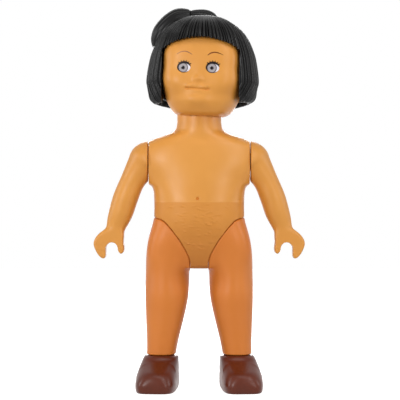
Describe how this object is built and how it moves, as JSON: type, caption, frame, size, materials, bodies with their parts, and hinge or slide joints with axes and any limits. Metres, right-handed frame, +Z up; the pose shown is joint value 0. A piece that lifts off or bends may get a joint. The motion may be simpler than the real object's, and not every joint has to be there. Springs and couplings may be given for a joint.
{
  "type": "building block figure",
  "caption": "Standing toy doll with moulded bob hair, turning head, swinging arms with clip hands, swinging legs and shoes that press onto building-block studs.",
  "frame": {"origin": "on the ground under the middle of the figure's box", "axes": "+Z up, -Y the way the figure faces, +X towards the figure's own left hand"},
  "size_m": [0.0822, 0.0372, 0.1497],
  "materials": {
    "skin": "satin moulded tan plastic",
    "leg": "satin moulded tan plastic, a shade redder",
    "hair": "satin black plastic",
    "shoe": "glossy brown plastic",
    "pin": "natural nylon"
  },
  "bodies": {
    "torso": {"torso_front": "skin", "torso_back": "skin", "neck_pin": "pin", "hip_axle": "pin"},
    "head": {"head": "skin", "hair": "hair", "neck_bush": "pin"},
    "left_arm": {"left_arm": "skin", "left_shoulder_pin": "pin"},
    "right_arm": {"right_arm": "skin", "right_shoulder_pin": "pin"},
    "left_leg": {"left_leg": "leg", "left_shoe": "shoe", "left_hip_bush": "pin"},
    "right_leg": {"right_leg": "leg", "right_shoe": "shoe", "right_hip_bush": "pin"}
  },
  "joints": [
    {"name": "head_turn", "type": "hinge", "parent": "torso", "child": "head", "pos_m": [0, -0.00085, 0.11], "axis": [0, 0, 1], "continuous": true},
    {"name": "left_shoulder", "type": "hinge", "parent": "torso", "child": "left_arm", "pos_m": [0.0196, -0.00085, 0.0885], "axis": [-1, 0, 0], "continuous": true},
    {"name": "right_shoulder", "type": "hinge", "parent": "torso", "child": "right_arm", "pos_m": [-0.0196, -0.00085, 0.0885], "axis": [-1, 0, 0], "continuous": true},
    {"name": "left_hip", "type": "hinge", "parent": "torso", "child": "left_leg", "pos_m": [0.00345, -0.00085, 0.052], "axis": [-1, 0, 0], "range_deg": [-25, 85]},
    {"name": "right_hip", "type": "hinge", "parent": "torso", "child": "right_leg", "pos_m": [-0.00345, -0.00085, 0.052], "axis": [-1, 0, 0], "range_deg": [-25, 85]}
  ]
}
